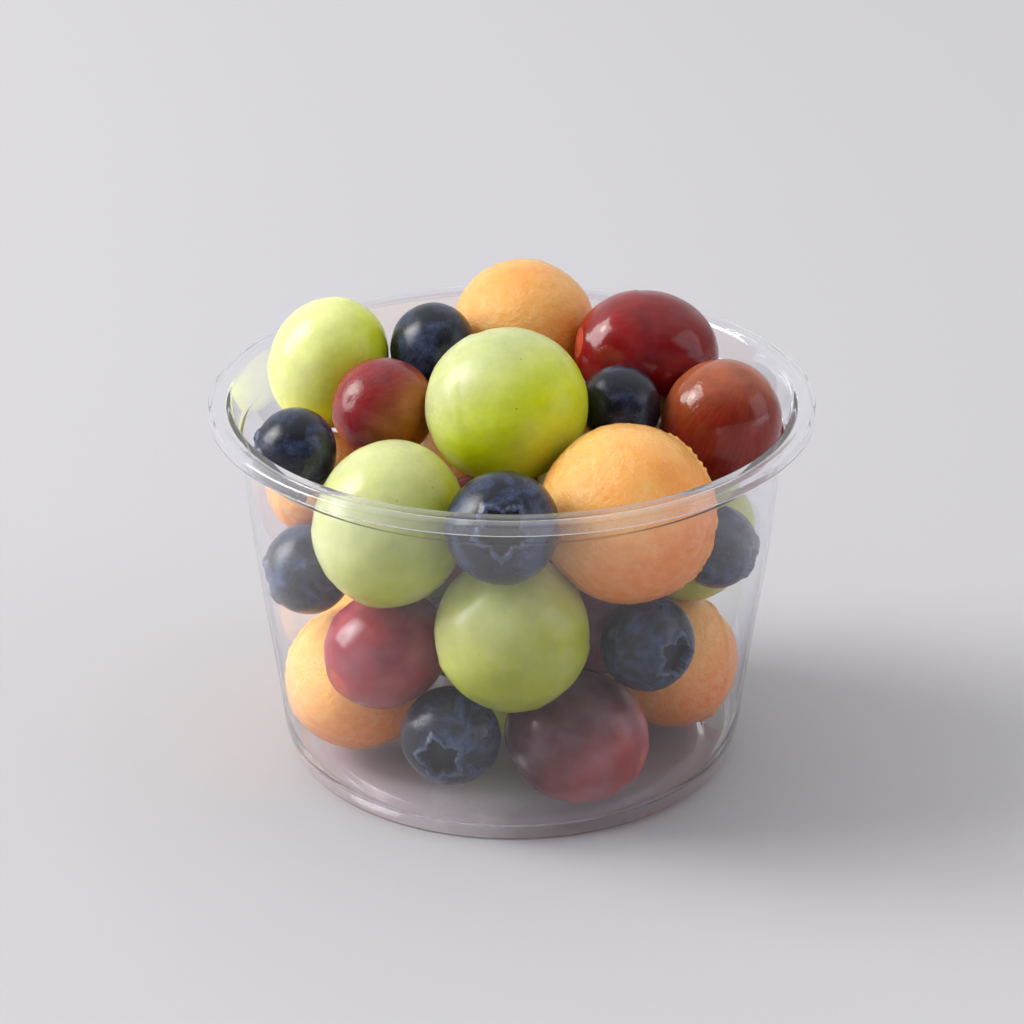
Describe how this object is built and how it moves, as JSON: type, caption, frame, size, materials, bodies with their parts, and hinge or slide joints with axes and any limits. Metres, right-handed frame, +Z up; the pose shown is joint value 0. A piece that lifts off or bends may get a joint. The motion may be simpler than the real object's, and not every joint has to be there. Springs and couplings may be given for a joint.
{
  "type": "fruit cup",
  "caption": "Clear, round, tapered plastic cup, filled and heaped with whole green and red grapes, blueberries and scooped balls of orange melon.",
  "frame": {"origin": "middle of the cup's base, on the surface that it stands on", "axes": "+Z up along the cup's axis; -Y faces the front that the picture shows, with +X to its right"},
  "size_m": [0.104, 0.104, 0.0806],
  "materials": {
    "clear_plastic": "clear thermoformed plastic with a faint haze",
    "green_grape": "translucent yellow-green skin, satin, with small specks",
    "red_grape": "glossy dark red skin with pale streaks and a thin bloom",
    "blueberry": "dark navy skin under a slate-blue bloom",
    "melon": "wet, finely grained orange flesh"
  },
  "bodies": {
    "root": {"cup": "clear_plastic", "green_grape_top": "green_grape", "green_grape_back_left": "green_grape", "green_grape_front_left": "green_grape", "green_grape_front": "green_grape", "green_grape_right": "green_grape", "green_grape_inside_right": "green_grape", "green_grape_inside_left": "green_grape", "green_grape_floor_middle": "green_grape", "green_grape_floor_right": "green_grape", "green_grape_back": "green_grape", "green_grape_wall_back_right": "green_grape", "red_grape_left": "red_grape", "red_grape_back_right": "red_grape", "red_grape_right": "red_grape", "red_grape_front_left": "red_grape", "red_grape_low": "red_grape", "red_grape_under_top": "red_grape", "red_grape_inside_right": "red_grape", "red_grape_floor_back": "red_grape", "red_grape_middle": "red_grape", "red_grape_wall_back_left": "red_grape", "blueberry_front": "blueberry", "blueberry_back_left": "blueberry", "blueberry_back_right": "blueberry", "blueberry_rim_left": "blueberry", "blueberry_wall_left": "blueberry", "blueberry_wall_right": "blueberry", "blueberry_front_right": "blueberry", "blueberry_low": "blueberry", "blueberry_inside_left": "blueberry", "blueberry_wall_back_right": "blueberry", "blueberry_wall_back": "blueberry", "blueberry_rim_back_right": "blueberry", "blueberry_rim_back_left": "blueberry", "melon_ball_back": "melon", "melon_ball_front_right": "melon", "melon_ball_low_left": "melon", "melon_ball_low_right": "melon", "melon_ball_left": "melon", "melon_ball_floor_left": "melon", "melon_ball_back_right": "melon", "melon_ball_middle": "melon"}
  },
  "joints": []
}
